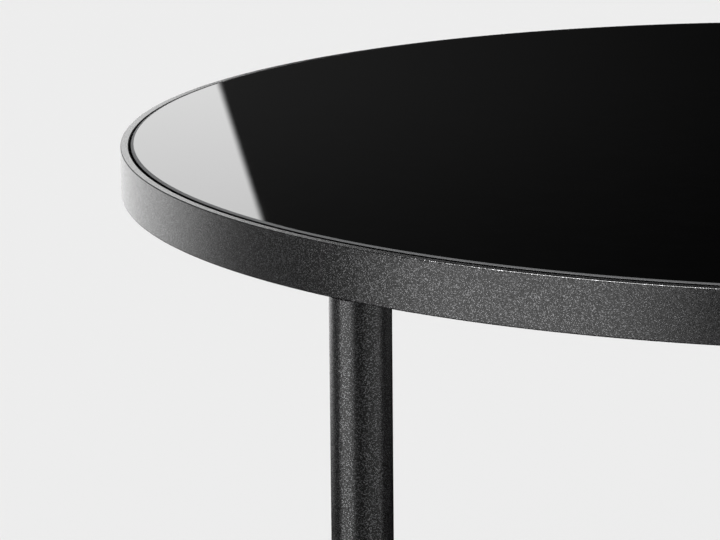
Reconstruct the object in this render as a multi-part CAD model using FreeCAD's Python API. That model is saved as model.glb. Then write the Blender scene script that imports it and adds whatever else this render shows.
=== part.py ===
"""Round nesting tables: a small table that slides between the legs of a large one.

Each table is a rolled steel hoop on four tubular legs. A black glass disc lies loose in the
hoop, on clear pads, and every leg ends in a pressed-in glide. Units are millimetres, +Z is up
and the floor is z = 0. The origin is on the floor, at the middle of the pair as it stands.
"""

import FreeCAD
import Part

import math
import os

# --- The pair -----------------------------------------------------------------------------
large_diameter = 800.0       # outside of the large hoop
large_height = 450.0         # floor to the large hoop's top edge
passing_clearance = 7.25     # small hoop to the large legs, each side, as it slides through
nesting_headroom = 24.0      # small hoop's top to the large hoop's bottom
pulled_out = 360.0           # small table's axis from the large one's, along +X, as it stands

# --- Hoop: rolled flat bar ----------------------------------------------------------------
hoop_height = 26.0
hoop_wall = 4.5
hoop_edge_radius = 0.6
weld_gap = 0.15              # from a welded piece to the hoop's curved wall

# --- Glass top ----------------------------------------------------------------------------
glass_thickness = 8.0
glass_proud = 0.8            # glass face above the hoop's top edge
glass_side_gap = 1.2         # glass edge to the hoop's inner wall
glass_bevel_width = 1.6
glass_bevel_depth = 0.5
glass_arris = 0.5            # small chamfer on the lower edge

# --- Ledge inside the hoop, and the pads that the glass lies on ----------------------------
ledge_width = 14.0
ledge_thickness = 3.0
key_clearance = 1.5          # round each nut, in the ledge's notch above it
glass_pad_radius = 5.0
glass_pad_thickness = 1.5
glass_pad_count = 8

# --- Legs: round tube, flush with the outside of the hoop -----------------------------------
leg_diameter = 30.0
leg_wall = 1.5
plug_fit = 0.05              # plug to tube bore, on the radius
leg_places = {"front_left": 225.0, "front_right": 315.0, "back_right": 45.0, "back_left": 135.0}

# --- Leg joint: bracket in the hoop, weld nut, stud and the threaded plug in the tube ---------
bracket_thickness = 5.0
bracket_margin = 5.0         # bracket beyond the leg, all round
bracket_hole_clearance = 0.3
thread_radius = 4.0          # M8
thread_fit = 0.05            # tapped hole to screw, on the radius
nut_across_flats = 13.0
nut_height = 6.5
nut_edge_chamfer = 0.7
stud_in_leg = 15.0
stud_tip_chamfer = 0.6
socket_across_flats = 4.0
socket_depth = 4.0
top_plug_height = 18.0

# --- Foot: plastic glide with a collar under the tube and ribs that grip its bore -------------
collar_height = 5.0
collar_edge_radius = 1.6
glide_plug_height = 22.0     # above the collar, inside the tube
glide_rib_count = 3
glide_rib_height = 2.5
glide_rib_depth = 0.6        # rib tip to plug body
glide_core_wall = 3.0        # plug body round its hollow core

# --- Worked out from the values above --------------------------------------------------------
leg_radius = leg_diameter / 2
bore_radius = leg_radius - leg_wall
plug_radius = bore_radius - plug_fit
tapped_radius = thread_radius + thread_fit
nut_corner = nut_across_flats / math.sqrt(3)
full_turn = 360.0

Z = FreeCAD.Vector(0, 0, 1)


def leg_circle(diameter):
    """Radius at which the legs stand, so that they are flush with the hoop's outside."""
    return diameter / 2 - leg_radius


large_leg_gap = math.sqrt(2) * leg_circle(large_diameter) - leg_diameter
small_diameter = large_leg_gap - 2 * passing_clearance
small_height = large_height - hoop_height - nesting_headroom
large_reach = large_diameter / 2
small_reach = pulled_out + small_diameter / 2
large_axis_x = (large_reach - max(large_reach, small_reach)) / 2
small_axis_x = large_axis_x + pulled_out


def at(x, y, z):
    """Short name for a point."""
    return FreeCAD.Vector(x, y, z)


def disc(radius, bottom, top, x=0.0):
    """Solid cylinder between two heights, about an axis at (x, 0)."""
    return Part.makeCylinder(radius, top - bottom, at(x, 0, bottom), Z)


def turned(profile):
    """Solid of revolution about Z from a closed outline of (radius, height) points."""
    points = [at(radius, 0, height) for radius, height in profile]
    wire = Part.makePolygon(points + points[:1])
    return Part.Face(wire).revolve(at(0, 0, 0), Z, full_turn)


def hexagon(across_flats, bottom, top):
    """Hexagonal prism about Z."""
    corner = across_flats / math.sqrt(3)
    turns = [math.radians(full_turn * k / 6) for k in range(6)]
    points = [at(corner * math.cos(turn), corner * math.sin(turn), bottom) for turn in turns]
    return Part.Face(Part.makePolygon(points + points[:1])).extrude(Z * (top - bottom))


def moved(shape, x, y):
    """Copy of a shape, carried along X and Y."""
    copy = shape.copy()
    copy.translate(at(x, y, 0))
    return copy


def rim(shape, radius, height):
    """Circular edges of a given radius that lie at a given height."""
    return [
        edge for edge in shape.Edges
        if isinstance(edge.Curve, Part.Circle)
        and math.isclose(edge.Curve.Center.z, height, abs_tol=1e-6)
        and math.isclose(edge.Curve.Radius, radius, abs_tol=1e-6)
    ]


class Table:
    """One table: its name, how wide and how high it is, and where its axis stands."""

    def __init__(self, name, diameter, height, axis_x):
        self.name = name
        self.radius = diameter / 2
        self.top = height
        self.axis_x = axis_x
        self.bottom = height - hoop_height
        self.inner_radius = self.radius - hoop_wall
        self.weld_radius = self.inner_radius - weld_gap
        self.glass_radius = self.inner_radius - glass_side_gap
        self.glass_top = height + glass_proud
        self.glass_bottom = self.glass_top - glass_thickness
        self.ledge_top = self.glass_bottom - glass_pad_thickness
        self.ledge_inner_radius = self.inner_radius - ledge_width
        self.bracket_top = self.bottom + bracket_thickness
        self.nut_top = self.bracket_top + nut_height
        self.leg_circle = leg_circle(diameter)

    def place(self, shape):
        """Carries a shape made about the Z axis to the table's axis."""
        return moved(shape, self.axis_x, 0)

    def at_each_leg(self, shape):
        """Copies of a shape made about the Z axis, one on each leg's axis."""
        turns = [math.radians(angle) for angle in leg_places.values()]
        circle = self.leg_circle
        return [moved(shape, circle * math.cos(turn), circle * math.sin(turn)) for turn in turns]

    def hoop(self):
        """Closed band with its long edges eased."""
        band = disc(self.radius, self.bottom, self.top)
        band = band.cut(disc(self.inner_radius, self.bottom, self.top))
        rims = [edge for edge in band.Edges if isinstance(edge.Curve, Part.Circle)]
        return band.makeFillet(hoop_edge_radius, rims)

    def ledge(self):
        """Flat ring in the hoop, below the glass, notched above each nut for the key."""
        bottom = self.ledge_top - ledge_thickness
        ring = disc(self.weld_radius, bottom, self.ledge_top)
        ring = ring.cut(disc(self.ledge_inner_radius, bottom, self.ledge_top))
        return ring.cut(self.at_each_leg(disc(nut_corner + key_clearance, bottom, self.ledge_top)))

    def glass_pads(self):
        """Clear discs stuck on the ledge, spread evenly and clear of the notches."""
        pad = disc(glass_pad_radius, self.ledge_top, self.glass_bottom)
        circle = self.inner_radius - ledge_width / 2
        turns = [math.radians(full_turn * (k + 0.5) / glass_pad_count) for k in range(glass_pad_count)]
        return [moved(pad, circle * math.cos(turn), circle * math.sin(turn)) for turn in turns]

    def glass(self):
        """Disc with a ground bevel round its face and an arris below."""
        side = self.glass_radius
        return turned([
            (0, self.glass_bottom),
            (side - glass_arris, self.glass_bottom),
            (side, self.glass_bottom + glass_arris),
            (side, self.glass_top - glass_bevel_depth),
            (side - glass_bevel_width, self.glass_top),
            (0, self.glass_top),
        ])

    def brackets(self):
        """Round-ended plates in the hoop, level with its lower edge, each with a stud hole."""
        reach = leg_radius + bracket_margin
        plate = disc(reach, self.bottom, self.bracket_top, self.leg_circle)
        corner = at(self.leg_circle, -reach, self.bottom)
        outer = Part.makeBox(self.radius - self.leg_circle, 2 * reach, bracket_thickness, corner)
        plate = plate.fuse(outer).removeSplitter()
        plate = plate.common(disc(self.weld_radius, self.bottom, self.bracket_top))
        hole = thread_radius + bracket_hole_clearance
        plate = plate.cut(disc(hole, self.bottom, self.bracket_top, self.leg_circle))
        made = [plate.copy() for _ in leg_places]
        for copy, angle in zip(made, leg_places.values()):
            copy.rotate(at(0, 0, 0), Z, angle)
        return made

    def weld_nuts(self):
        """Hexagon nuts on the brackets, their top corners turned off."""
        turned_blank = turned([
            (0, self.bracket_top),
            (nut_corner, self.bracket_top),
            (nut_corner, self.nut_top - nut_edge_chamfer),
            (nut_corner - 2 * nut_edge_chamfer, self.nut_top),
            (0, self.nut_top),
        ])
        nut = hexagon(nut_across_flats, self.bracket_top, self.nut_top).common(turned_blank)
        return self.at_each_leg(nut.cut(disc(tapped_radius, self.bracket_top, self.nut_top)))

    def leg_studs(self):
        """Headless screws from each nut down into the leg's plug, with a socket for the key."""
        bottom = self.bottom - stud_in_leg
        tip = thread_radius - stud_tip_chamfer
        stud = turned([
            (0, bottom),
            (tip, bottom),
            (thread_radius, bottom + stud_tip_chamfer),
            (thread_radius, self.nut_top - stud_tip_chamfer),
            (tip, self.nut_top),
            (0, self.nut_top),
        ])
        socket = hexagon(socket_across_flats, self.nut_top - socket_depth, self.nut_top)
        return self.at_each_leg(stud.cut(socket))

    def leg_plugs(self):
        """Threaded steel plugs in the tubes, level with their top ends."""
        bottom = self.bottom - top_plug_height
        plug = disc(plug_radius, bottom, self.bottom)
        return self.at_each_leg(plug.cut(disc(tapped_radius, bottom, self.bottom)))

    def leg_tubes(self):
        """Round tubes from the glide's collar up to the hoop."""
        tube = disc(leg_radius, collar_height, self.bottom)
        return self.at_each_leg(tube.cut(disc(bore_radius, collar_height, self.bottom)))

    def foot_glides(self):
        """Plastic feet: a rounded collar on the floor and a ribbed, hollow plug in the tube."""
        top = collar_height + glide_plug_height
        body_radius = plug_radius - glide_rib_depth
        collar = disc(leg_radius, 0, collar_height)
        collar = collar.makeFillet(collar_edge_radius, rim(collar, leg_radius, 0))
        glide = collar.fuse(disc(body_radius, collar_height, top))
        pitch = glide_plug_height / glide_rib_count
        for k in range(glide_rib_count):
            middle = collar_height + pitch * (k + 0.5)
            rib = disc(plug_radius, middle - glide_rib_height / 2, middle + glide_rib_height / 2)
            glide = glide.fuse(rib)
        glide = glide.cut(disc(body_radius - glide_core_wall, collar_height, top))
        return self.at_each_leg(glide.removeSplitter())

    def save(self, part, solids):
        """Writes one node, made of one solid or of several like ones."""
        placed = [self.place(solid) for solid in solids]
        shape = placed[0] if len(placed) == 1 else Part.makeCompound(placed)
        shape.exportStep(os.path.join("parts", f"{self.name}_{part}.step"))

    def write(self):
        """Writes every node of this table."""
        self.save("hoop", [self.hoop()])
        self.save("glass_ledge", [self.ledge()])
        self.save("glass_pads", self.glass_pads())
        self.save("glass_top", [self.glass()])
        self.save("weld_nuts", self.weld_nuts())
        self.save("leg_studs", self.leg_studs())
        one_per_leg = {
            "leg_bracket": self.brackets(),
            "leg_plug": self.leg_plugs(),
            "leg_tube": self.leg_tubes(),
            "foot_glide": self.foot_glides(),
        }
        for part, solids in one_per_leg.items():
            for leg, solid in zip(leg_places, solids):
                self.save(f"{part}_{leg}", [solid])


os.makedirs("parts", exist_ok=True)
Table("large", large_diameter, large_height, large_axis_x).write()
Table("small", small_diameter, small_height, small_axis_x).write()
print(f"small table {small_diameter:.2f} wide, {small_height:.2f} high, axis at x = {small_axis_x:.2f}")
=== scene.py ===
"""Looks of a pair of round nesting tables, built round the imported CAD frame.

Every visible piece is a surface worked out with numpy: mostly a rounded outline turned about an
axis, as the real pieces are turned, rolled or drawn. Lengths are metres, in the frame's axes.
"""

import logging
import math
from dataclasses import dataclass, field
from enum import Enum
from typing import Iterable, Mapping, Optional, Sequence, Union

import bpy
import numpy as np
from mathutils import Matrix, Vector


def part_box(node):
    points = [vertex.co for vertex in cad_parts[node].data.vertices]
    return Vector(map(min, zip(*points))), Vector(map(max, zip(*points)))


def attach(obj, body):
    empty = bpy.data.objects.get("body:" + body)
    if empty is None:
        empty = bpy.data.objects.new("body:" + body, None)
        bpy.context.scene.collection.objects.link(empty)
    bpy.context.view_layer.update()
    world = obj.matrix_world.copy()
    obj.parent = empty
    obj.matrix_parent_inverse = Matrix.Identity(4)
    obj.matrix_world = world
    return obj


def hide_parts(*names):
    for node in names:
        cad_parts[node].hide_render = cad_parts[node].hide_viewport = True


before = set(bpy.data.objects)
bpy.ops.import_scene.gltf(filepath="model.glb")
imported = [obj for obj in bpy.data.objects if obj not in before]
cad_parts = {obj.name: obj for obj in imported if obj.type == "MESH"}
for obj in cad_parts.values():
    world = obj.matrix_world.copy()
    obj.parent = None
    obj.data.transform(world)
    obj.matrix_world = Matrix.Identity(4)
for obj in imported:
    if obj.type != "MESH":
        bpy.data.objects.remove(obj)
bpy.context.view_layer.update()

LOG = logging.getLogger("nesting_tables")
MM = 0.001
FULL_TURN = 2 * math.pi
Colour = tuple[float, float, float]
Corner = tuple[float, float, float]
Span = tuple[float, float]
Values = Union[float, np.ndarray]
Shade = Union[Colour, bpy.types.NodeSocket]


# --------------------------------------------------------------------------------------------
# Surfaces
# --------------------------------------------------------------------------------------------


class Turning(Enum):
    """How finely a turned piece is divided round its axis."""

    RIM = 576
    TUBE = 128
    SMALL = 48


@dataclass
class Surface:
    """Points and faces of one or more closed skins.

    Attributes:
        points: One row of x, y, z for each vertex.
        quads: Four vertex numbers for each four-sided face.
        triangles: Three vertex numbers for each face at a pole.
    """

    points: np.ndarray
    quads: np.ndarray
    triangles: np.ndarray = field(default_factory=lambda: np.empty((0, 3), int))

    def volume(self) -> float:
        """Signed volume: a sixth of the triple products of every face's corners, summed."""
        halves = np.vstack([self.quads[:, [0, 1, 2]], self.quads[:, [0, 2, 3]], self.triangles])
        a, b, c = (self.points[halves[:, k]] for k in range(3))
        return float(np.einsum("ij,ij->i", a, np.cross(b, c)).sum() / 6)

    def outward(self) -> "Surface":
        """The same skin with its faces turned to point out of the solid."""
        if self.volume() >= 0:
            return self
        return Surface(self.points, self.quads[:, ::-1], self.triangles[:, ::-1])

    def moved(self, x: float, y: float, z: float = 0.0) -> "Surface":
        """A copy carried along the three axes."""
        return Surface(self.points + np.array([x, y, z]), self.quads, self.triangles)

    def turned(self, angle: float) -> "Surface":
        """A copy turned about Z by an angle in radians."""
        c, s = math.cos(angle), math.sin(angle)
        spin = np.array([[c, -s, 0.0], [s, c, 0.0], [0.0, 0.0, 1.0]])
        return Surface(self.points @ spin.T, self.quads, self.triangles)


def joined(surfaces: Sequence[Surface]) -> Surface:
    """Several skins as one, with each one's vertex numbers moved past those before it.

    Args:
        surfaces: The skins, in order.

    Returns:
        One surface that holds them all.
    """
    starts = np.cumsum([0] + [len(s.points) for s in surfaces[:-1]])
    return Surface(
        np.vstack([s.points for s in surfaces]),
        np.vstack([s.quads + k for s, k in zip(surfaces, starts)]),
        np.vstack([s.triangles + k for s, k in zip(surfaces, starts)]),
    )


def skin(rows: np.ndarray, loop_rows: bool) -> Surface:
    """Faces over a grid of points that always closes round its second direction.

    Point (i, j) joins (i + 1, j) and (i, j + 1), and the last j joins the first. The last i joins
    the first too if loop_rows is set. Otherwise the first and last rows are poles: all their
    points are one, and triangles meet there.

    Args:
        rows: Points, shaped (rows, round, 3).
        loop_rows: Whether the rows close on themselves, as round a ring's section.

    Returns:
        The closed skin, facing outwards.
    """
    around = rows.shape[1]
    across = np.arange(around)
    onward = (across + 1) % around
    grid = (rows if loop_rows else rows[1:-1]).reshape(-1, 3)
    number = np.arange(len(grid)).reshape(-1, around)
    a, b = (number, np.roll(number, -1, axis=0)) if loop_rows else (number[:-1], number[1:])
    quads = np.stack([a[:, across], a[:, onward], b[:, onward], b[:, across]], axis=-1).reshape(-1, 4)
    if loop_rows:
        return Surface(grid, quads).outward()
    first, last = np.full(around, len(grid)), np.full(around, len(grid) + 1)
    points = np.vstack([grid, rows[0].mean(axis=0), rows[-1].mean(axis=0)])
    low = np.stack([first, number[0, onward], number[0, across]], axis=-1)
    high = np.stack([last, number[-1, across], number[-1, onward]], axis=-1)
    return Surface(points, quads, np.vstack([low, high])).outward()


def polar(radius: Values, turn: Values, height: Values) -> np.ndarray:
    """Points (r cos t, r sin t, z) about the Z axis, from values that broadcast together."""
    parts = np.broadcast_arrays(radius * np.cos(turn), radius * np.sin(turn), height)
    return np.stack(parts, axis=-1)


def arc_points(radius: float, turn: np.ndarray, across: float = 0.0) -> np.ndarray:
    """Points in plan of a circle whose middle lies along X: (across + r cos t, r sin t)."""
    return np.stack([across + radius * np.cos(turn), radius * np.sin(turn)], axis=-1)


def box_corners(left: float, right: float, low: float, high: float) -> list[Span]:
    """The four corners of an upright rectangle, from its lower left one, counterclockwise."""
    return [(left, low), (right, low), (right, high), (left, high)]


def rounded(corners: Sequence[Corner], closed: bool, steps: int = 6, guard: float = 0.0003) -> np.ndarray:
    """An outline with its corners rounded by true arcs.

    At a corner, the arc's centre lies on the bisector at radius / sin(half the angle), and the
    arc runs between the two points where it touches the sides. Each long straight also gets a
    point a guard's length from either end, so that flats shade flat right up to their rounding.

    Args:
        corners: (across, up, rounding radius) of each corner, in order.
        closed: Whether the last corner joins the first.
        steps: Spans in each arc.
        guard: Distance from an arc to the extra point beside it.

    Returns:
        Points of the outline, shaped (points, 2).
    """
    plan = np.array([corner[:2] for corner in corners], float)
    count = len(plan)
    spans: list[np.ndarray] = []
    for k, (_, _, radius) in enumerate(corners):
        here = plan[k]
        if radius == 0 or (not closed and k in (0, count - 1)):
            spans.append(here[None, :])
            continue
        back, on = plan[k - 1] - here, plan[(k + 1) % count] - here
        back, on = back / np.linalg.norm(back), on / np.linalg.norm(on)
        half = math.acos(float(np.clip(back @ on, -1, 1))) / 2
        bisector = (back + on) / np.linalg.norm(back + on)
        centre = here + bisector * radius / math.sin(half)
        reach = radius / math.tan(half)
        start, end = here + back * reach - centre, here + on * reach - centre
        sweep = math.pi - 2 * half
        t = np.linspace(0, 1, steps + 1)[:, None]
        arc = (np.sin((1 - t) * sweep) * start + np.sin(t * sweep) * end) / math.sin(sweep)
        spans.append(centre + arc)
    made: list[np.ndarray] = []
    for k, span in enumerate(spans):
        made.append(span)
        if not closed and k == count - 1:
            break
        a, b = span[-1], spans[(k + 1) % count][0]
        length = float(np.linalg.norm(b - a))
        if length > 4 * guard:
            share = guard / length
            made.append(a + (b - a) * np.array([[share], [1 - share]]))
    return np.vstack(made)


def lathe(outline: np.ndarray, closed: bool, turning: Turning) -> Surface:
    """An outline turned about Z: (r cos t, r sin t, z) for every outline point and every t.

    Args:
        outline: (radius, height) points. An open outline starts and ends on the axis.
        closed: Whether the outline is a closed loop, as for a ring.
        turning: How finely it is divided.

    Returns:
        The turned skin.
    """
    t = np.arange(turning.value) * FULL_TURN / turning.value
    return skin(polar(outline[:, :1], t, outline[:, 1:]), closed)


def hexagon_reach(across_flats: float, angle: np.ndarray) -> np.ndarray:
    """Distance from a hexagon's middle to its side: half its width over cos(angle to the flat)."""
    sixth = FULL_TURN / 6
    return across_flats / 2 / np.cos((angle % sixth) - sixth / 2)


# --------------------------------------------------------------------------------------------
# Shader arithmetic
# --------------------------------------------------------------------------------------------


class Signal:
    """A number that varies over a surface, written in Python arithmetic."""

    def __init__(self, graph: "Graph", output: bpy.types.NodeSocket) -> None:
        """Wraps one output socket of a node in a graph."""
        self.graph = graph
        self.output = output

    def _maths(self, operation: str, a: "Number", b: "Number", clamp: bool = False) -> "Signal":
        """Adds one Math node."""
        settings = {"operation": operation, "use_clamp": clamp}
        return self.graph.signal(self.graph.node("ShaderNodeMath", settings, {0: a, 1: b}))

    def __add__(self, other: "Number") -> "Signal":
        """self + other."""
        return self._maths("ADD", self, other)

    __radd__ = __add__

    def __sub__(self, other: "Number") -> "Signal":
        """self - other."""
        return self._maths("SUBTRACT", self, other)

    def __rsub__(self, other: "Number") -> "Signal":
        """other - self."""
        return self._maths("SUBTRACT", other, self)

    def __mul__(self, other: "Number") -> "Signal":
        """self * other."""
        return self._maths("MULTIPLY", self, other)

    __rmul__ = __mul__

    def __pow__(self, other: "Number") -> "Signal":
        """self to the power of other."""
        return self._maths("POWER", self, other)

    def above(self, level: float) -> "Signal":
        """1 where the signal passes a level, and 0 elsewhere."""
        return self._maths("GREATER_THAN", self, level)

    def clamped(self) -> "Signal":
        """The signal held between 0 and 1."""
        return self._maths("ADD", self, 0.0, clamp=True)

    def eased(self, low: float, high: float) -> "Signal":
        """0 below low and 1 above high, with a smooth S between."""
        settings = {"interpolation_type": "SMOOTHSTEP"}
        inputs = {"Value": self, "From Min": low, "From Max": high}
        return self.graph.signal(self.graph.node("ShaderNodeMapRange", settings, inputs))


Number = Union[Signal, float]


class Graph:
    """The node tree of a material or a world, with short ways to add to it."""

    def __init__(self, tree: bpy.types.NodeTree) -> None:
        """Empties a tree, so that it holds only what is added here."""
        self.tree = tree
        tree.nodes.clear()

    def node(
        self,
        kind: str,
        settings: Optional[Mapping[str, object]] = None,
        inputs: Optional[Mapping[Union[str, int], object]] = None,
    ) -> bpy.types.Node:
        """Adds a node of any kind.

        Args:
            kind: The node's type name.
            settings: Its properties, which are set first.
            inputs: A value, a Signal or an output socket for each input, by name or number.

        Returns:
            The new node.
        """
        made = self.tree.nodes.new(kind)
        for name, value in (settings or {}).items():
            setattr(made, name, value)
        for name, value in (inputs or {}).items():
            source = value.output if isinstance(value, Signal) else value
            if isinstance(source, bpy.types.NodeSocket):
                self.tree.links.new(source, made.inputs[name])
            else:
                made.inputs[name].default_value = source
        return made

    def signal(self, node: bpy.types.Node, output: Union[str, int] = 0) -> Signal:
        """A node's output as a Signal."""
        return Signal(self, node.outputs[output])

    def place(self) -> bpy.types.NodeSocket:
        """The point on the surface, in the object's own axes."""
        return self.node("ShaderNodeTexCoord").outputs["Object"]

    def axes(self) -> tuple[Signal, Signal, Signal]:
        """The place's three coordinates."""
        parts = self.node("ShaderNodeSeparateXYZ", None, {0: self.place()})
        return self.signal(parts, "X"), self.signal(parts, "Y"), self.signal(parts, "Z")

    def noise(self, scale: float, detail: float = 2.0, roughness: float = 0.5) -> Signal:
        """Smooth random signal around 0.5, with about scale bumps to the metre."""
        inputs = {"Vector": self.place(), "Scale": scale, "Detail": detail, "Roughness": roughness}
        return self.signal(self.node("ShaderNodeTexNoise", None, inputs), "Fac")

    def cells(self, scale: float) -> tuple[Signal, Signal, bpy.types.NodeSocket]:
        """Scattered grains: distance from each one's middle, and a random number and vector for each."""
        inputs = {"Vector": self.place(), "Scale": scale}
        made = self.node("ShaderNodeTexVoronoi", {"feature": "F1"}, inputs)
        parts = self.node("ShaderNodeSeparateColor", None, {"Color": made.outputs["Color"]})
        return self.signal(made, "Distance"), self.signal(parts, "Red"), made.outputs["Color"]

    def leaned(
        self, normal: bpy.types.NodeSocket, way: bpy.types.NodeSocket, reach: float
    ) -> bpy.types.NodeSocket:
        """A normal pushed by up to reach along a random vector whose parts run from 0 to 1."""
        settings = {"operation": "MULTIPLY_ADD"}
        push = self.node("ShaderNodeVectorMath", settings, {0: way, 1: (2 * reach,) * 3, 2: (-reach,) * 3})
        both = self.node("ShaderNodeVectorMath", {"operation": "ADD"}, {0: normal, 1: push.outputs[0]})
        return self.node("ShaderNodeVectorMath", {"operation": "NORMALIZE"}, {0: both.outputs[0]}).outputs[0]

    def blend(self, share: Number, a: Shade, b: Shade) -> bpy.types.NodeSocket:
        """Colour a at share 0 and b at share 1, each a colour or another blend."""
        a, b = (end if isinstance(end, bpy.types.NodeSocket) else (*end, 1.0) for end in (a, b))
        return self.node("ShaderNodeMix", {"data_type": "RGBA"}, {0: share, 6: a, 7: b}).outputs[2]

    def bump(self, height: Signal, depth: float) -> bpy.types.NodeSocket:
        """Surface normal that a height signal gives, with 1 standing depth metres high."""
        inputs = {"Strength": 1.0, "Distance": depth, "Height": height}
        return self.node("ShaderNodeBump", None, inputs).outputs["Normal"]

    def close(self, shader: bpy.types.Node, kind: str = "ShaderNodeOutputMaterial") -> None:
        """Joins the last shader to the tree's output."""
        self.node(kind, None, {"Surface": shader.outputs[0]})


def principled(name: str, inputs: Mapping[str, object], graph: Graph) -> None:
    """Ends a material in one Principled shader.

    Args:
        name: What the shader is labelled.
        inputs: Its sockets' values and links.
        graph: The material's graph.
    """
    graph.close(graph.node("ShaderNodeBsdfPrincipled", {"label": name}, inputs))


# --------------------------------------------------------------------------------------------
# Finishes
# --------------------------------------------------------------------------------------------


@dataclass(frozen=True)
class Finish:
    """A surface finish, made into a material once and shared by every piece that has it."""

    slot: str = ""

    def material(self) -> bpy.types.Material:
        """The finish's material, made on its first use."""
        name = self.title()
        found = bpy.data.materials.get(name)
        if found is None:
            found = bpy.data.materials.new(name)
            found.use_nodes = True
            self.dress(Graph(found.node_tree))
        return found

    def title(self) -> str:
        """The material's name."""
        return type(self).__name__

    def dress(self, graph: Graph) -> None:
        """Builds the finish's nodes."""
        raise NotImplementedError


@dataclass(frozen=True)
class PowderCoat(Finish):
    """Black powder coat with a fine leathery grain, in which metal flakes lie at all angles."""

    slot: str = "powder_coat"
    dark: Colour = (0.004, 0.004, 0.0042)
    pale: Colour = (0.009, 0.009, 0.0094)
    flake: Colour = (0.23, 0.23, 0.235)
    grain_scale: float = 1100.0
    flake_scale: float = 2300.0
    flake_tilt: float = 0.05
    flake_share: float = 0.36
    flake_edge: Span = (0.34, 0.54)
    flake_metal: float = 0.8
    grain_gloss: float = 0.12
    grain_depth: float = 0.01 * MM
    roughness: float = 0.24

    def dress(self, graph: Graph) -> None:
        """Grain from noise, and scattered cells that each lean their own way and are part metal."""
        grain = graph.noise(self.grain_scale, 3.0, 0.6)
        distance, chance, lean = graph.cells(self.flake_scale)
        flakes = chance.above(1 - self.flake_share) * (1 - distance.eased(*self.flake_edge))
        coat = graph.blend(grain.eased(0.35, 0.65), self.dark, self.pale)
        principled("powder coat", {
            "Base Color": graph.blend(flakes, coat, self.flake),
            "Metallic": flakes * self.flake_metal,
            "Roughness": self.roughness + (grain - 0.5) * self.grain_gloss,
            "Normal": graph.leaned(graph.bump(grain, self.grain_depth), lean, self.flake_tilt),
        }, graph)


@dataclass(frozen=True)
class BlackGlass(Finish):
    """Opaque black glass with a polished face and ground edges.

    Attributes:
        table: The table that the glass belongs to.
        centre: Its axis along X and Y.
        flat: Radius out to which the face is polished.
        low: Height down to which the bevel is ground. Below it the side is polished.
    """

    slot: str = "black_glass"
    table: str = ""
    centre: tuple[float, float] = (0.0, 0.0)
    flat: float = 1.0
    low: float = 0.0
    colour: Colour = (0.0003, 0.0003, 0.00035)
    haze: Colour = (0.0006, 0.0006, 0.0007)
    ground: Colour = (0.12, 0.122, 0.125)
    ground_roughness: float = 0.5
    grit_shade: float = 0.7

    def title(self) -> str:
        """The material's name, which differs with the table, as the edge's radius does."""
        return f"{type(self).__name__}_{self.table}"

    def dress(self, graph: Graph) -> None:
        """A mirror whose gloss drifts slightly, frosted on the bevel."""
        drift = graph.noise(9.0, 3.0, 0.55)
        film = graph.noise(70.0, 4.0, 0.6)
        grit = graph.noise(2500.0, 2.0, 0.6)
        x, y, z = graph.axes()
        x, y = x - self.centre[0], y - self.centre[1]
        edge = (x * x + y * y).above(self.flat ** 2) * z.above(self.low)
        face = graph.blend(film.eased(0.4, 0.7), self.colour, self.haze)
        frost = graph.blend(grit, tuple(self.grit_shade * part for part in self.ground), self.ground)
        gloss = 0.012 + drift.eased(0.4, 0.7) * 0.01 + film.eased(0.5, 0.8) * 0.008
        principled("black glass", {
            "Base Color": graph.blend(edge, face, frost),
            "Roughness": gloss + edge * self.ground_roughness,
            "IOR": 1.52,
        }, graph)


@dataclass(frozen=True)
class ClearPad(Finish):
    """Clear soft plastic."""

    slot: str = "clear_pad"

    def dress(self, graph: Graph) -> None:
        """Cloudy clear plastic with a lightly uneven skin."""
        cloud = graph.noise(420.0, 2.0, 0.5)
        principled("clear pad", {
            "Base Color": graph.blend(cloud, (0.70, 0.72, 0.72), (0.84, 0.85, 0.85)),
            "Roughness": 0.16 + cloud * 0.14,
            "IOR": 1.43,
            "Transmission Weight": 0.75,
            "Normal": graph.bump(cloud, 0.00003),
        }, graph)


@dataclass(frozen=True)
class ZincPlate(Finish):
    """Bright zinc on steel fasteners."""

    slot: str = "zinc_steel"

    def dress(self, graph: Graph) -> None:
        """Bright metal with cloudy patches and fine pits."""
        cloud = graph.noise(160.0, 3.0, 0.6)
        pits = graph.noise(2600.0, 2.0, 0.6)
        principled("zinc plate", {
            "Base Color": graph.blend(cloud.eased(0.35, 0.65), (0.50, 0.51, 0.50), (0.66, 0.66, 0.63)),
            "Metallic": 1.0,
            "Roughness": 0.24 + cloud * 0.18 + pits * 0.08,
            "Normal": graph.bump(pits, 0.00003),
        }, graph)


@dataclass(frozen=True)
class MouldedPlastic(Finish):
    """Black moulded plastic with a fine spark-eroded texture."""

    slot: str = "glide_plastic"
    worn_height: float = 1.6 * MM

    def dress(self, graph: Graph) -> None:
        """Fine even pits, and scuffs where the glide meets the floor."""
        pits = graph.noise(3200.0, 2.0, 0.6)
        scuff = graph.noise(300.0, 4.0, 0.7)
        _, _, height = graph.axes()
        low = 1 - height.eased(0.0, self.worn_height)
        worn = (low * scuff.eased(0.45, 0.7)).clamped()
        principled("moulded plastic", {
            "Base Color": graph.blend(worn, (0.017, 0.017, 0.018), (0.055, 0.054, 0.052)),
            "Roughness": 0.48 + pits * 0.12 + worn * 0.15,
            "Normal": graph.bump(pits, 0.00004),
        }, graph)


# --------------------------------------------------------------------------------------------
# Pieces
# --------------------------------------------------------------------------------------------


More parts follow.
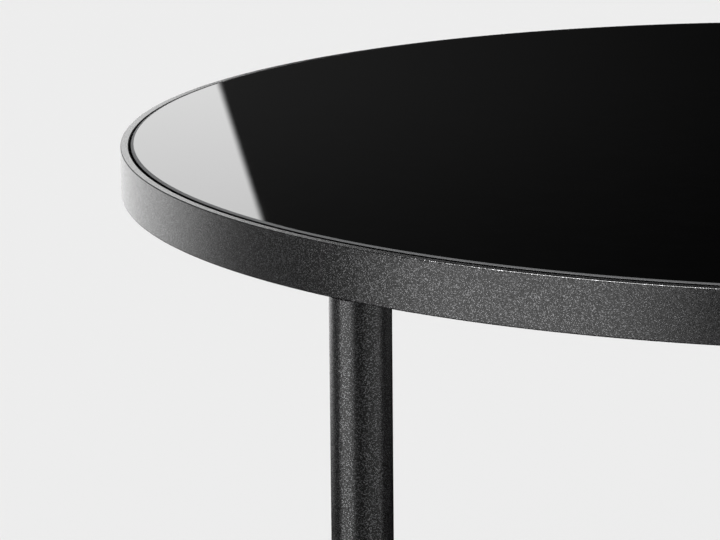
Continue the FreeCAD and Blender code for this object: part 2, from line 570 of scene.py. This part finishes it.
def piece(name: str, surface: Surface, finish: Finish, body: str, nodes: Iterable[str]) -> bpy.types.Object:
    """Makes one finished piece of a surface and hangs it on the frame.

    Args:
        name: The piece's name.
        surface: Its skin, in place.
        finish: What it is coated or made with.
        body: The CAD body that it moves with.
        nodes: The CAD nodes that it stands for, if any.

    Returns:
        The new object.
    """
    mesh = bpy.data.meshes.new(name)
    faces = surface.quads.tolist() + surface.triangles.tolist()
    mesh.from_pydata(surface.points.tolist(), [], faces)
    mesh.shade_smooth()
    mesh.materials.append(finish.material())
    made = bpy.data.objects.new(name, mesh)
    bpy.context.scene.collection.objects.link(made)
    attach(made, body)
    names = list(nodes)
    if names:
        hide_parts(*names)
    LOG.info("%s: %d faces, stands for %s", name, len(faces), ", ".join(names) or "nothing in the CAD")
    return made


class Leg(Enum):
    """Where each leg stands, as an angle in degrees from +X."""

    FRONT_LEFT = 225.0
    FRONT_RIGHT = 315.0
    BACK_RIGHT = 45.0
    BACK_LEFT = 135.0

    @property
    def node(self) -> str:
        """The leg's name in the CAD nodes."""
        return self.name.lower()

    @property
    def turn(self) -> float:
        """Its angle in radians."""
        return math.radians(self.value)


@dataclass(frozen=True)
class Extent:
    """Lowest and highest corners of a CAD node, and what follows from them."""

    low: Vector
    high: Vector

    @classmethod
    def of(cls, node: str) -> "Extent":
        """The extent of one CAD node."""
        return cls(*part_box(node))

    @property
    def middle(self) -> tuple[float, float]:
        """Centre in plan."""
        return (self.low.x + self.high.x) / 2, (self.low.y + self.high.y) / 2

    @property
    def radius(self) -> float:
        """Half the smaller width in plan, which is the radius of a round piece."""
        return min(self.high.x - self.low.x, self.high.y - self.low.y) / 2


@dataclass
class TopFrame:
    """Hoop, glass ledge, leg brackets with their nuts, and the welds that join them."""

    name: str
    body: str
    wall: float = 4.5 * MM
    edge: float = 0.6 * MM
    ledge_width: float = 14.0 * MM
    notch: float = 9.0 * MM
    leg_radius: float = 15.0 * MM
    bracket_reach: float = 20.0 * MM
    bracket_hole: float = 4.3 * MM
    nut_width: float = 13.0 * MM
    nut_bore: float = 4.05 * MM
    nut_lead_under: float = 0.35 * MM
    nut_lead_over: float = 0.5 * MM
    nut_crown: float = 0.98
    ledge_ease: float = 0.35 * MM
    bracket_ease: float = 0.5 * MM
    arc_steps: int = 33
    run_steps: int = 98
    bracket_bead: float = 3.2 * MM
    bracket_bead_share: float = 0.86
    stitch_bead: float = 2.4 * MM
    stitch_count: int = 16
    stitch_half: float = 14.0 * MM
    bead_tuck: float = 0.05 * MM
    bead_step: float = 0.7 * MM
    ripple_height: float = 0.07
    ripple_length: float = 2.2 * MM
    weld_gap: float = 0.15 * MM
    coat: Finish = PowderCoat()
    zinc: Finish = ZincPlate()

    def __post_init__(self) -> None:
        """Reads the places of the hoop, ledge and brackets from the frame."""
        self.hoop_box = Extent.of(f"{self.name}_hoop")
        self.ledge_box = Extent.of(f"{self.name}_glass_ledge")
        self.bracket_box = Extent.of(f"{self.name}_leg_bracket_front_left")
        self.nut_box = Extent.of(f"{self.name}_weld_nuts")
        self.radius = self.hoop_box.radius
        self.inner = self.radius - self.wall
        self.leg_circle = self.radius - self.leg_radius

    def placed(self, surface: Surface) -> Surface:
        """Carries a surface made about Z to the table's own axis."""
        return surface.moved(*self.hoop_box.middle)

    def at_legs(self, surface: Surface) -> Surface:
        """Copies of a surface made about Z, one on each leg's axis and turned with it."""
        there = surface.moved(self.leg_circle, 0.0)
        return self.placed(joined([there.turned(leg.turn) for leg in Leg]))

    def hoop(self) -> Surface:
        """Rolled flat bar: a rectangle with eased edges, turned about the table's axis."""
        low, high = self.hoop_box.low.z, self.hoop_box.high.z
        outline = rounded([
            (self.radius, low, self.edge),
            (self.radius, high, self.edge),
            (self.inner, high, self.edge),
            (self.inner, low, self.edge),
        ], closed=True, steps=8)
        return self.placed(lathe(outline, True, Turning.RIM))

    def ledge(self) -> Surface:
        """Flat ring with a round notch over each leg's nut.

        Round the inner edge, an arc of the inner circle between two notches is followed by the
        notch's own arc, and the same share of the turn is taken on the outer edge.
        """
        low, high = self.ledge_box.low.z, self.ledge_box.high.z
        inner, outer = self.inner - self.ledge_width, self.inner - self.weld_gap
        circle, notch = self.leg_circle, self.notch
        along = (inner**2 + circle**2 - notch**2) / (2 * circle)
        meets = math.acos(along / inner)
        opening = math.pi - math.atan2(inner * math.sin(meets), circle - along)
        sweep = np.linspace(-opening, opening, self.arc_steps)
        notch_edge = arc_points(notch, sweep, circle)
        quarter = FULL_TURN / len(Leg)
        run = np.linspace(meets, quarter - meets, self.run_steps)[1:-1]
        edge = np.vstack([notch_edge, arc_points(inner, run)])
        reach = math.asin(notch / circle)
        bearing = np.concatenate([np.linspace(-reach, reach, len(sweep)), run])
        rim = arc_points(outer, bearing)
        turns = [
            np.array([[math.cos(leg.turn), math.sin(leg.turn)], [-math.sin(leg.turn), math.cos(leg.turn)]])
            for leg in sorted(Leg, key=lambda leg: leg.turn)
        ]
        edge, rim = (np.vstack([line @ spin for spin in turns]) for line in (edge, rim))
        ease = self.ledge_ease
        corners = [(x, z, ease) for x, z in box_corners(0, self.ledge_width, low, high)]
        section = rounded(corners, closed=True, steps=4, guard=ease) / np.array([self.ledge_width, 1.0])
        across, up = section[:, 0], section[:, 1]
        plan = edge[None] + (rim - edge)[None] * across[:, None, None]
        height = np.broadcast_to(up[:, None, None], plan.shape[:2] + (1,))
        return self.placed(skin(np.concatenate([plan, height], axis=-1), True))

    def bracket(self, leg: Leg) -> Surface:
        """Plate with a half-round inner end and an outer end that follows the hoop.

        The outline is a half circle, two straights and an arc about the table's axis. From each
        of its points the section runs in to the stud hole: along the underside, up the hole and
        back over the top, with the outer edges rounded.
        """
        low, high = self.bracket_box.low.z, self.bracket_box.high.z
        reach, circle, outer = self.bracket_reach, self.leg_circle, self.inner - self.weld_gap
        half = np.linspace(math.pi / 2, 1.5 * math.pi, 49)
        spread = math.asin(reach / outer)
        bow = np.linspace(-spread, spread, self.arc_steps)
        outline = np.vstack([arc_points(reach, half, circle), arc_points(outer, bow)])
        ahead, behind = np.roll(outline, -1, axis=0), np.roll(outline, 1, axis=0)
        along = ahead - behind
        out = np.stack([along[:, 1], -along[:, 0]], axis=-1) / np.linalg.norm(along, axis=1)[:, None]
        bearing = np.arctan2(outline[:, 1], outline[:, 0] - circle)
        hole = arc_points(self.bracket_hole, bearing, circle)
        ease = self.bracket_ease
        arc = np.linspace(0, math.pi / 2, 6)
        inset = ease * (1 - np.sin(arc))
        rise = ease * (1 - np.cos(arc))
        backs = np.concatenate([inset, inset[::-1]])
        ups = np.concatenate([low + rise, high - rise[::-1]])
        levels = [(hole, low), *((outline - out * back, up) for back, up in zip(backs, ups)), (hole, high)]
        rows = [np.column_stack([line, np.full(len(line), height)]) for line, height in levels]
        return self.placed(skin(np.stack(rows), True).turned(leg.turn))

    def nut(self) -> Surface:
        """Hexagon nut whose top corners are turned off at 30 degrees.

        Round the axis, the side's height is where the hexagon meets the cone, so each corner is
        cut in a curve and the flats reach the top.
        """
        low, high = self.nut_box.low.z, self.nut_box.high.z
        t = np.arange(Turning.SMALL.value * 2) * FULL_TURN / (Turning.SMALL.value * 2)
        side = hexagon_reach(self.nut_width, t)
        crown = self.nut_width / 2 * self.nut_crown
        drop = (side - crown) / 2
        bore, under, over = self.nut_bore, self.nut_lead_under, self.nut_lead_over
        rings = [
            (bore + under, low), (side, low), (side, high - drop), (crown, high),
            (bore + over, high), (bore, high - over), (bore, low + under),
        ]
        rows = np.stack([polar(r, t, z) for r, z in rings])
        return skin(rows, True)

    def bead(self, radius: float, height: float, start: float, end: float, leg: float, up: int) -> Surface:
        """One run of weld in the corner between the hoop's inner wall and a flat plate.

        Along the run, the section is a quarter-round fillet whose size swells and falls in
        ripples and closes at both ends: size = leg (1 + ripple) (1 - |s|^8)^(1/2), s from -1 to 1.

        Args:
            radius: The hoop's inner radius.
            height: Height of the plate's face.
            start: Angle where the run starts, in radians.
            end: Angle where it ends.
            leg: Size of the fillet.
            up: 1 for a bead above the face, -1 for one below it.

        Returns:
            The bead's closed skin.
        """
        length = radius * (end - start)
        count = int(length / self.bead_step)
        s = np.linspace(-1, 1, count)
        close = np.sqrt(np.clip(1 - np.abs(s) ** 8, 0, None))
        ripple = self.ripple_height * np.cos(s * length / self.ripple_length * math.pi)
        size = leg * (1 + ripple) * close
        turn = (start + end) / 2 + s * (end - start) / 2
        face = np.linspace(0, math.pi / 2, 9)
        bulge = 0.82 + 0.1 * np.sin(2 * face)
        inward = np.concatenate([np.cos(face) * bulge, [-0.08]])
        upward = np.concatenate([np.sin(face) * bulge, [-0.08]])
        r = radius - size[:, None] * inward
        z = height + up * size[:, None] * upward
        return skin(polar(r, turn[:, None], z), False)

    def welds(self) -> Surface:
        """Beads over each bracket's outer edge and stitches under the ledge."""
        top, under = self.bracket_box.high.z, self.ledge_box.low.z
        spread = self.bracket_reach / self.inner * self.bracket_bead_share
        wall = self.inner - self.bead_tuck
        over = self.bracket_bead
        runs = [self.bead(wall, top, leg.turn - spread, leg.turn + spread, over, 1) for leg in Leg]
        step, half = FULL_TURN / self.stitch_count, self.stitch_half / self.inner
        middles = [step * (k + 0.5) for k in range(self.stitch_count)]
        runs += [self.bead(wall, under, m - half, m + half, self.stitch_bead, -1) for m in middles]
        return self.placed(joined(runs))

    def build(self) -> None:
        """Makes the frame's pieces and dresses them."""
        n, body = self.name, self.body
        piece(f"{n}.hoop", self.hoop(), self.coat, body, [f"{n}_hoop"])
        piece(f"{n}.glass_ledge", self.ledge(), self.coat, body, [f"{n}_glass_ledge"])
        piece(f"{n}.weld_nuts", self.at_legs(self.nut()), self.zinc, body, [f"{n}_weld_nuts"])
        piece(f"{n}.weld_beads", self.welds(), self.coat, body, [])
        for leg in Leg:
            made = self.bracket(leg)
            piece(f"{n}.leg_bracket.{leg.node}", made, self.coat, body, [f"{n}_leg_bracket_{leg.node}"])


@dataclass
class GlassTop:
    """The loose glass disc and the pads that it lies on."""

    name: str
    body: str
    glass_body: str
    bevel_width: float = 1.6 * MM
    bevel_depth: float = 0.5 * MM
    arris: float = 0.5 * MM
    soft_edge: float = 0.12 * MM
    pad_radius: float = 5.0 * MM
    pad_count: int = 8
    ledge_width: float = 14.0 * MM
    glass_gap: float = 1.2 * MM
    inner_ring: float = 0.3
    pad_edge_low: float = 0.3 * MM
    pad_edge_high: float = 0.5 * MM
    clear: Finish = ClearPad()

    def __post_init__(self) -> None:
        """Reads the places of the glass and pads from the frame."""
        self.glass_box = Extent.of(f"{self.name}_glass_top")
        self.pad_box = Extent.of(f"{self.name}_glass_pads")
        flat = self.glass_box.radius - self.bevel_width + self.soft_edge
        low = self.glass_box.high.z - self.bevel_depth - self.soft_edge
        self.glass = BlackGlass(table=self.name, centre=self.glass_box.middle, flat=flat, low=low)

    def disc(self) -> Surface:
        """Flat disc, bevelled round its face, with a small arris below."""
        low, high, side = self.glass_box.low.z, self.glass_box.high.z, self.glass_box.radius
        face = side - self.bevel_width
        outline = rounded([
            (0, low, 0),
            (self.inner_ring * side, low, 0),
            (side - self.arris, low, self.soft_edge),
            (side, low + self.arris, self.soft_edge),
            (side, high - self.bevel_depth, self.soft_edge),
            (face, high, self.soft_edge),
            (self.inner_ring * side, high, 0),
            (0, high, 0),
        ], closed=False, steps=4, guard=0.1 * MM)
        return lathe(outline, False, Turning.RIM).moved(*self.glass_box.middle)

    def pads(self) -> Surface:
        """Round pads with a rounded rim, pressed flat between the ledge and the glass."""
        low, high = self.pad_box.low.z, self.pad_box.high.z
        outline = rounded([
            (0, low, 0),
            (self.pad_radius, low, self.pad_edge_low),
            (self.pad_radius, high, self.pad_edge_high),
            (0, high, 0),
        ], closed=False)
        pad = lathe(outline, False, Turning.SMALL)
        circle = self.glass_box.radius + self.glass_gap - self.ledge_width / 2
        step = FULL_TURN / self.pad_count
        turns = [step * (k + 0.5) for k in range(self.pad_count)]
        spots = [pad.moved(circle * math.cos(t), circle * math.sin(t)) for t in turns]
        return joined(spots).moved(*self.glass_box.middle)

    def build(self) -> None:
        """Makes the glass and its pads and dresses them."""
        n = self.name
        piece(f"{n}.glass_top", self.disc(), self.glass, self.glass_body, [f"{n}_glass_top"])
        piece(f"{n}.glass_pads", self.pads(), self.clear, self.body, [f"{n}_glass_pads"])


@dataclass
class LegSet:
    """Four tubular legs, each with its plug, stud and glide."""

    name: str
    body: str
    wall: float = 1.5 * MM
    fit: float = 0.05 * MM
    thread_radius: float = 4.0 * MM
    thread_pitch: float = 1.25 * MM
    thread_depth: float = 0.6 * MM
    socket_width: float = 4.0 * MM
    socket_depth: float = 4.0 * MM
    rib_count: int = 3
    rib_height: float = 2.5 * MM
    rib_depth: float = 0.6 * MM
    core_wall: float = 3.0 * MM
    glide_edge: float = 1.6 * MM
    glide_soft: float = 0.25 * MM
    rib_soft: float = 0.6 * MM
    tube_edge: float = 0.3 * MM
    plug_edge: float = 0.8 * MM
    plug_soft: float = 0.2 * MM
    bore_soft: float = 0.1 * MM
    end_cone: float = 0.8 * MM
    socket_point: float = 0.6 * MM
    coat: Finish = PowderCoat()
    zinc: Finish = ZincPlate()
    plastic: Finish = MouldedPlastic()

    def tube(self, box: Extent) -> Surface:
        """Round tube with its cut ends broken slightly."""
        outer, low, high = box.radius, box.low.z, box.high.z
        edge, bore = self.tube_edge, outer - self.wall
        outline = rounded([
            (outer, low, edge), (outer, high, edge), (bore, high, edge), (bore, low, edge),
        ], closed=True, steps=4)
        return lathe(outline, True, Turning.TUBE).moved(*box.middle)

    def plug(self, box: Extent) -> Surface:
        """Turned steel plug with chamfered edges and a tapped bore."""
        outer, low, high = box.radius, box.low.z, box.high.z
        edge, bore = self.plug_edge, self.thread_radius + self.fit
        soft, fine = self.plug_soft, self.bore_soft
        outline = rounded([
            (outer - edge, low, soft), (outer, low + edge, soft),
            (outer, high - edge / 2, soft), (outer - edge / 2, high, soft),
            (bore + edge / 2, high, fine), (bore, high - edge / 2, fine),
            (bore, low + edge / 2, fine), (bore + edge / 2, low, fine),
        ], closed=True, steps=3)
        return lathe(outline, True, Turning.TUBE).moved(*box.middle)

    def stud(self, low: float, high: float) -> Surface:
        """Headless screw: a vee thread that climbs one pitch a turn, with a hexagon socket.

        radius = major - depth |2 frac(z / pitch - t / turn) - 1|, cut back by a cone at each end.
        """
        t = np.arange(Turning.SMALL.value) * FULL_TURN / Turning.SMALL.value
        levels = np.arange(low, high, self.thread_pitch / 8)
        z = np.append(levels, high)[:, None]
        phase = (z / self.thread_pitch - t / FULL_TURN) % 1
        vee = self.thread_radius - self.thread_depth * np.abs(2 * phase - 1)
        cone = self.thread_radius - self.end_cone + np.minimum(z - low, high - z)
        radius = np.minimum(vee, cone)
        socket = hexagon_reach(self.socket_width, t)
        floor = high - self.socket_depth
        rings = [(0.0, low)]
        rings += [(row, float(level[0])) for row, level in zip(radius, z)]
        rings += [(socket, high), (socket, floor), (0.0, floor - self.socket_point)]
        return skin(np.stack([polar(r, t, height) for r, height in rings]), False)

    def glide(self, box: Extent, tube: Extent) -> Surface:
        """Push-in foot: a rounded collar under the tube, and a hollow plug with grip ribs."""
        seat, top, outer = tube.low.z, box.high.z, tube.radius
        grip = outer - self.wall - self.fit
        stem = grip - self.rib_depth
        core = stem - self.core_wall
        pitch, soft = (top - seat) / self.rib_count, self.glide_soft
        corners: list[Corner] = [
            (0, 0, 0),
            (outer, 0, self.glide_edge),
            (outer, seat, soft),
            (stem, seat, soft),
        ]
        for k in range(self.rib_count):
            middle = seat + pitch * (k + 0.5)
            under, over = middle - self.rib_height / 2, middle + self.rib_height / 2
            corners += [(stem, under, soft), (grip, under, soft), (grip, over, self.rib_soft)]
            corners.append((stem, over, soft))
        corners += [(stem, top, soft), (core, top, soft), (core, seat, soft), (0, seat, 0)]
        outline = rounded(corners, closed=False, steps=4, guard=0.2 * MM)
        return lathe(outline, False, Turning.TUBE).moved(*tube.middle)

    def build(self) -> None:
        """Makes every leg's pieces and dresses them."""
        n, body = self.name, self.body
        studs: list[Surface] = []
        stud_box = Extent.of(f"{n}_leg_studs")
        for leg in Leg:
            names = {part: f"{n}_{part}_{leg.node}" for part in ("leg_tube", "leg_plug", "foot_glide")}
            tube, plug, glide = (Extent.of(node) for node in names.values())
            made = {
                "leg_tube": (self.tube(tube), self.coat),
                "leg_plug": (self.plug(plug), self.zinc),
                "foot_glide": (self.glide(glide, tube), self.plastic),
            }
            for part, (surface, finish) in made.items():
                piece(f"{n}.{part}.{leg.node}", surface, finish, body, [names[part]])
            studs.append(self.stud(stud_box.low.z, stud_box.high.z).moved(*tube.middle))
        piece(f"{n}.leg_studs", joined(studs), self.zinc, body, [f"{n}_leg_studs"])


# --------------------------------------------------------------------------------------------
# Studio
# --------------------------------------------------------------------------------------------


@dataclass(frozen=True)
class Panel:
    """One soft upright panel of the light tent.

    Attributes:
        bearing: Where it stands round the tables, in degrees from +X towards +Y.
        reach: How far it goes to each side, in degrees.
        soft: Degrees over which each side fades.
        level: How bright it is.
    """

    bearing: float
    reach: float
    soft: float
    level: float

    def share(self, x: Signal, y: Signal) -> Signal:
        """How much of the panel shows at a place on the tent.

        It is the cosine of the angle from the middle of the panel, eased from none to all
        between the outer and the inner end of its soft side.
        """
        angle = math.radians(self.bearing)
        facing = x * math.cos(angle) + y * math.sin(angle)
        outer = math.cos(math.radians(self.reach + self.soft))
        inner = math.cos(math.radians(self.reach - self.soft))
        return facing.eased(outer, inner)


class Rays(Enum):
    """Which rays see a lamp or card."""

    ALL_BUT_CAMERA = ("visible_camera",)
    DIFFUSE_ONLY = ("visible_camera", "visible_glossy", "visible_transmission")
    GLOSSY_ONLY = ("visible_camera", "visible_diffuse", "visible_shadow", "visible_transmission")

    def apply(self, thing: bpy.types.Object) -> None:
        """Hides a thing from the rays that don't see it."""
        for switch in self.value:
            setattr(thing, switch, False)


@dataclass(frozen=True)
class Tent:
    """Upright round wall that only reflections see, lit by a few soft panels.

    Attributes:
        radius: Of the wall, round the large table's axis.
        foot: Its lowest height.
        top: Its highest height.
        sides: How many flat sides it has.
        room: Brightness where no panel shows.
        rise_behind: Heights between which the light begins, behind the tables.
        rise_ahead: The same in front of them.
        fall_ahead: Heights between which it ends again, in front.
        panels: The soft panels.
    """

    radius: float = 4.0
    foot: float = -2.6
    top: float = 0.7
    sides: int = 72
    room: float = 0.32
    rise_behind: Span = (-0.85, -0.45)
    rise_ahead: Span = (-1.05, -0.6)
    fall_ahead: Span = (-0.35, 0.15)
    panels: tuple[Panel, ...] = (
        Panel(bearing=-145, reach=20, soft=12, level=3.1),
        Panel(bearing=-60, reach=18, soft=10, level=0.8),
        Panel(bearing=-30, reach=10, soft=6, level=1.2),
        Panel(bearing=122, reach=26, soft=16, level=1.3),
    )

    def surface(self, axis: Vector) -> tuple[np.ndarray, np.ndarray]:
        """Corners and faces: two equal rings, one above the other, joined all round."""
        turn = np.arange(self.sides) * FULL_TURN / self.sides
        points = np.vstack([polar(self.radius, turn, z) for z in (self.foot, self.top)]) + np.array(axis)
        near = np.arange(self.sides)
        far = np.roll(near, -1)
        return points, np.stack([near, far, far + self.sides, near + self.sides], axis=-1)

    def glow(self, x: Signal, y: Signal, z: Signal) -> Signal:
        """Brightness at a place measured from the axis.

        It is the room's plus each panel's level times its share, between the heights at which
        the light begins and ends.
        """
        x, y = x * (1 / self.radius), y * (1 / self.radius)
        lit = sum((panel.share(x, y) * panel.level for panel in self.panels), start=x * 0 + self.room)
        behind = y.above(0.0)
        rise = z.eased(*self.rise_behind) * behind + z.eased(*self.rise_ahead) * (1 - behind)
        return lit * (rise * (1 - z.eased(*self.fall_ahead) * (1 - behind)))


@dataclass(frozen=True)
class Card:
    """Upright card behind the tables that only reflections see: pale on its left, dark on its right.

    Attributes:
        distance: How far it stands behind the large table's axis.
        across: Its left and right side, from the axis.
        heights: Its lower and upper side.
        edge_x: Where the line between the two tones is, from the axis, at the height edge_z.
        edge_z: See edge_x.
        lean: How far that line leans, in degrees.
        soft: Distance left of the line over which the pale tone ends.
        soft_right: The same to its right, as a share of soft.
        pale: Brightness on the left.
        pale_power: Power that shapes the end of the pale tone.
        dark: Brightness right of the line.
        fade: Distance over which the dark tone falls to none.
        fade_power: Power that shapes that fall.
        dim: Heights between which the dark tone drops by dim_share.
        dim_share: See dim.
    """

    distance: float = 2.0
    across: Span = (-0.74, 1.7)
    heights: Span = (-0.9, 1.5)
    edge_x: float = -0.387
    edge_z: float = 0.831
    lean: float = 16.3
    soft: float = 0.009
    soft_right: float = 0.25
    pale: float = 1.66
    pale_power: float = 1.6
    dark: float = 0.033
    fade: float = 0.9
    fade_power: float = 1.5
    dim: Span = (0.74, 1.0)
    dim_share: float = 0.5

    def surface(self, axis: Vector) -> tuple[np.ndarray, np.ndarray]:
        """Corners and the one face of a flat card."""
        corners = box_corners(*self.across, *self.heights)
        points = [(axis.x + x, axis.y + self.distance, z) for x, z in corners]
        return np.array(points), np.arange(len(corners))[None]

    def glow(self, x: Signal, y: Signal, z: Signal) -> Signal:
        """Brightness at a place measured from the axis.

        It is a power of a smooth S across the line, times the pale tone, plus a dark tone that
        falls by a power of the distance from the line and drops with height.
        """
        lean = math.radians(self.lean)
        offset = (x - self.edge_x) * math.cos(lean) - (z - self.edge_z) * math.sin(lean)
        dark = (1 - (offset * (1 / self.fade)).clamped()) ** self.fade_power * self.dark
        dark = dark * (1 - z.eased(*self.dim) * self.dim_share)
        share = (1 - offset.eased(-self.soft, self.soft_right * self.soft)) ** self.pale_power
        return share * self.pale + dark


@dataclass
class Studio:
    """Pale floor, even top light, reflected tent, card and softbox, and the camera.

    Attributes:
        paper: Grey of what the camera sees beyond the floor.
        floor_white: Colour of the floor itself.
        floor_sides: How many sides the floor's disc has.
        floor_rings: Radii of its rings.
        floor_drop: How far it lies under the glides.
        top_light: Strength of the light from straight above.
        top_spread: How wide that light is in the sky, in degrees.
        softbox_power: Power of the softbox.
        softbox_size: Its width and height.
        softbox_bearing: Where it stands, in degrees from +X.
        softbox_lift: How high it stands, in degrees.
        softbox_distance: How far away it stands.
        room: Brightness of the world that the object reflects.
        lens: Focal length in millimetres.
        camera_side: Camera from the large table's axis along X, in hoop radii.
        camera_back: The same along Y.
        camera_up: Camera above the hoop's top edge, in hoop radii.
        heading: Direction that the camera looks in plan, in degrees from +X.
        pitch: How far it looks down, in degrees.
        roll: How far it leans, in degrees.
    """

    paper: float = 0.847
    floor_white: float = 0.8
    floor_sides: int = 96
    floor_rings: tuple[float, ...] = (0.5, 2.0, 8.0, 60.0)
    floor_drop: float = 0.02 * MM
    top_light: float = 3.08
    top_spread: float = 70.0
    softbox_power: float = 160.0
    softbox_size: Span = (1.7, 1.2)
    softbox_bearing: float = -145.0
    softbox_lift: float = 55.0
    softbox_distance: float = 3.0
    room: float = 0.10
    lens: float = 178.4
    camera_side: float = -0.70675
    camera_back: float = -4.786
    camera_up: float = 0.8747
    heading: float = 89.64
    pitch: float = 12.51
    roll: float = -0.54

    @staticmethod
    def stand(name: str, data: bpy.types.ID, rays: Optional[Rays] = None) -> bpy.types.Object:
        """Puts a mesh, a lamp or the camera into the scene.

        Args:
            name: The object's name.
            data: The mesh, lamp or camera.
            rays: The rays that see it, or None for all.

        Returns:
            The new object.
        """
        made = bpy.data.objects.new(name, data)
        bpy.context.scene.collection.objects.link(made)
        if rays is not None:
            rays.apply(made)
        return made

    @staticmethod
    def painted(mesh: bpy.types.Mesh) -> Graph:
        """Gives a mesh a new material of its own name, and returns its empty graph."""
        material = bpy.data.materials.new(mesh.name)
        material.use_nodes = True
        mesh.materials.append(material)
        return Graph(material.node_tree)

    def floor(self) -> None:
        """Large pale disc of widening rings at floor height, unseen in reflections and from below."""
        sides, count = self.floor_sides, len(self.floor_rings)
        angle = np.arange(sides) * FULL_TURN / sides
        rings = np.array(self.floor_rings)[:, None]
        flat = polar(rings, angle, 0.0)
        mesh = bpy.data.meshes.new("studio_floor")
        points = np.vstack([flat.reshape(-1, 3), [[0, 0, 0]]])
        number = np.arange(count * sides).reshape(count, sides)
        onward = np.roll(number, -1, axis=1)
        quads = np.stack([number[:-1], number[1:], onward[1:], onward[:-1]], axis=-1).reshape(-1, 4)
        centre = np.stack([np.full(sides, count * sides), number[0], onward[0]], axis=-1)
        mesh.from_pydata(points.tolist(), [], quads.tolist() + centre.tolist())
        graph = self.painted(mesh)
        paper = graph.node("ShaderNodeBsdfDiffuse", None, {"Color": (*(self.floor_white,) * 3, 1.0)})
        clear = graph.node("ShaderNodeBsdfTransparent")
        below = graph.node("ShaderNodeNewGeometry").outputs["Backfacing"]
        inputs = {0: below, 1: paper.outputs[0], 2: clear.outputs[0]}
        graph.close(graph.node("ShaderNodeMixShader", None, inputs))
        made = self.stand(mesh.name, mesh)
        made.location.z = -self.floor_drop
        made.visible_glossy = False

    def surroundings(self) -> None:
        """A world that the camera sees as pale paper and the object sees as a dim room."""
        world = bpy.data.worlds.new("studio_room")
        bpy.context.scene.world = world
        world.use_nodes = True
        graph = Graph(world.node_tree)
        seen = graph.signal(graph.node("ShaderNodeLightPath"), "Is Camera Ray")
        level = seen * (self.paper - self.room) + self.room
        graph.close(graph.node("ShaderNodeBackground", None, {"Strength": level}), "ShaderNodeOutputWorld")

    def overhead(self) -> None:
        """Even light from straight above, which no surface mirrors."""
        light = bpy.data.lights.new("overhead", "SUN")
        light.energy = self.top_light
        light.angle = math.radians(self.top_spread)
        self.stand("overhead", light, Rays.DIFFUSE_ONLY)

    def reflected(self, name: str, shape: Union[Tent, Card], axis: Vector) -> None:
        """Stands a glowing surface round or behind the tables, which only reflections see.

        Args:
            name: The object's name.
            shape: Gives the surface and its brightness.
            axis: The large table's axis.
        """
        points, faces = shape.surface(axis)
        mesh = bpy.data.meshes.new(name)
        mesh.from_pydata(points.tolist(), [], faces.tolist())
        graph = self.painted(mesh)
        x, y, z = graph.axes()
        strength = shape.glow(x - axis.x, y - axis.y, z)
        graph.close(graph.node("ShaderNodeEmission", None, {"Strength": strength}))
        self.stand(name, mesh, Rays.GLOSSY_ONLY)

    def softbox(self, axis: Vector) -> None:
        """Wide lamp high in front, which only the rounded and bevelled edges mirror."""
        bearing, lift = math.radians(self.softbox_bearing), math.radians(self.softbox_lift)
        light = bpy.data.lights.new("softbox", "AREA")
        light.shape = "RECTANGLE"
        light.size, light.size_y = self.softbox_size
        light.energy = self.softbox_power
        flat = Vector((math.cos(bearing), math.sin(bearing), 0)) * math.cos(lift)
        away = flat + Vector((0, 0, math.sin(lift)))
        made = self.stand("softbox", light, Rays.GLOSSY_ONLY)
        made.location = axis + away * self.softbox_distance
        made.rotation_euler = away.to_track_quat("Z", "Y").to_euler()

    def camera(self, hoop: Extent) -> None:
        """The camera, placed from the large hoop's axis, top edge and radius."""
        x, y = hoop.middle
        radius = hoop.radius
        place = Vector((x + self.camera_side * radius, y + self.camera_back * radius,
                        hoop.high.z + self.camera_up * radius))
        heading, pitch, roll = (math.radians(v) for v in (self.heading, self.pitch, self.roll))
        level = Vector((math.cos(heading), math.sin(heading), 0))
        sideways = Vector((math.sin(heading), -math.cos(heading), 0))
        up = Vector((0, 0, 1))
        ahead = level * math.cos(pitch) - up * math.sin(pitch)
        above = up * math.cos(pitch) + level * math.sin(pitch)
        right = sideways * math.cos(roll) + above * math.sin(roll)
        over = above * math.cos(roll) - sideways * math.sin(roll)
        data = bpy.data.cameras.new("camera")
        data.lens = self.lens
        data.sensor_width = 36.0
        data.clip_end = 200.0
        made = self.stand("camera", data)
        columns = Matrix((right, over, -ahead)).transposed()
        made.matrix_world = Matrix.Translation(place) @ columns.to_4x4()
        bpy.context.scene.camera = made

    def build(self) -> None:
        """Sets the whole studio up."""
        hoop = Extent.of("large_hoop")
        axis = Vector((*hoop.middle, 0))
        self.floor()
        self.surroundings()
        self.overhead()
        self.reflected("reflected_card", Card(), axis)
        self.reflected("reflected_tent", Tent(), axis)
        self.softbox(axis)
        self.camera(hoop)
        bpy.context.scene.view_settings.view_transform = "Standard"


def main() -> None:
    """Builds both tables and the studio."""
    logging.basicConfig(level=logging.INFO, format="%(message)s")
    for name in ("large", "small"):
        TopFrame(name, f"{name}_table").build()
        GlassTop(name, f"{name}_table", f"{name}_glass").build()
        LegSet(name, f"{name}_table").build()
    Studio().build()


if __name__ == "__main__":
    main()
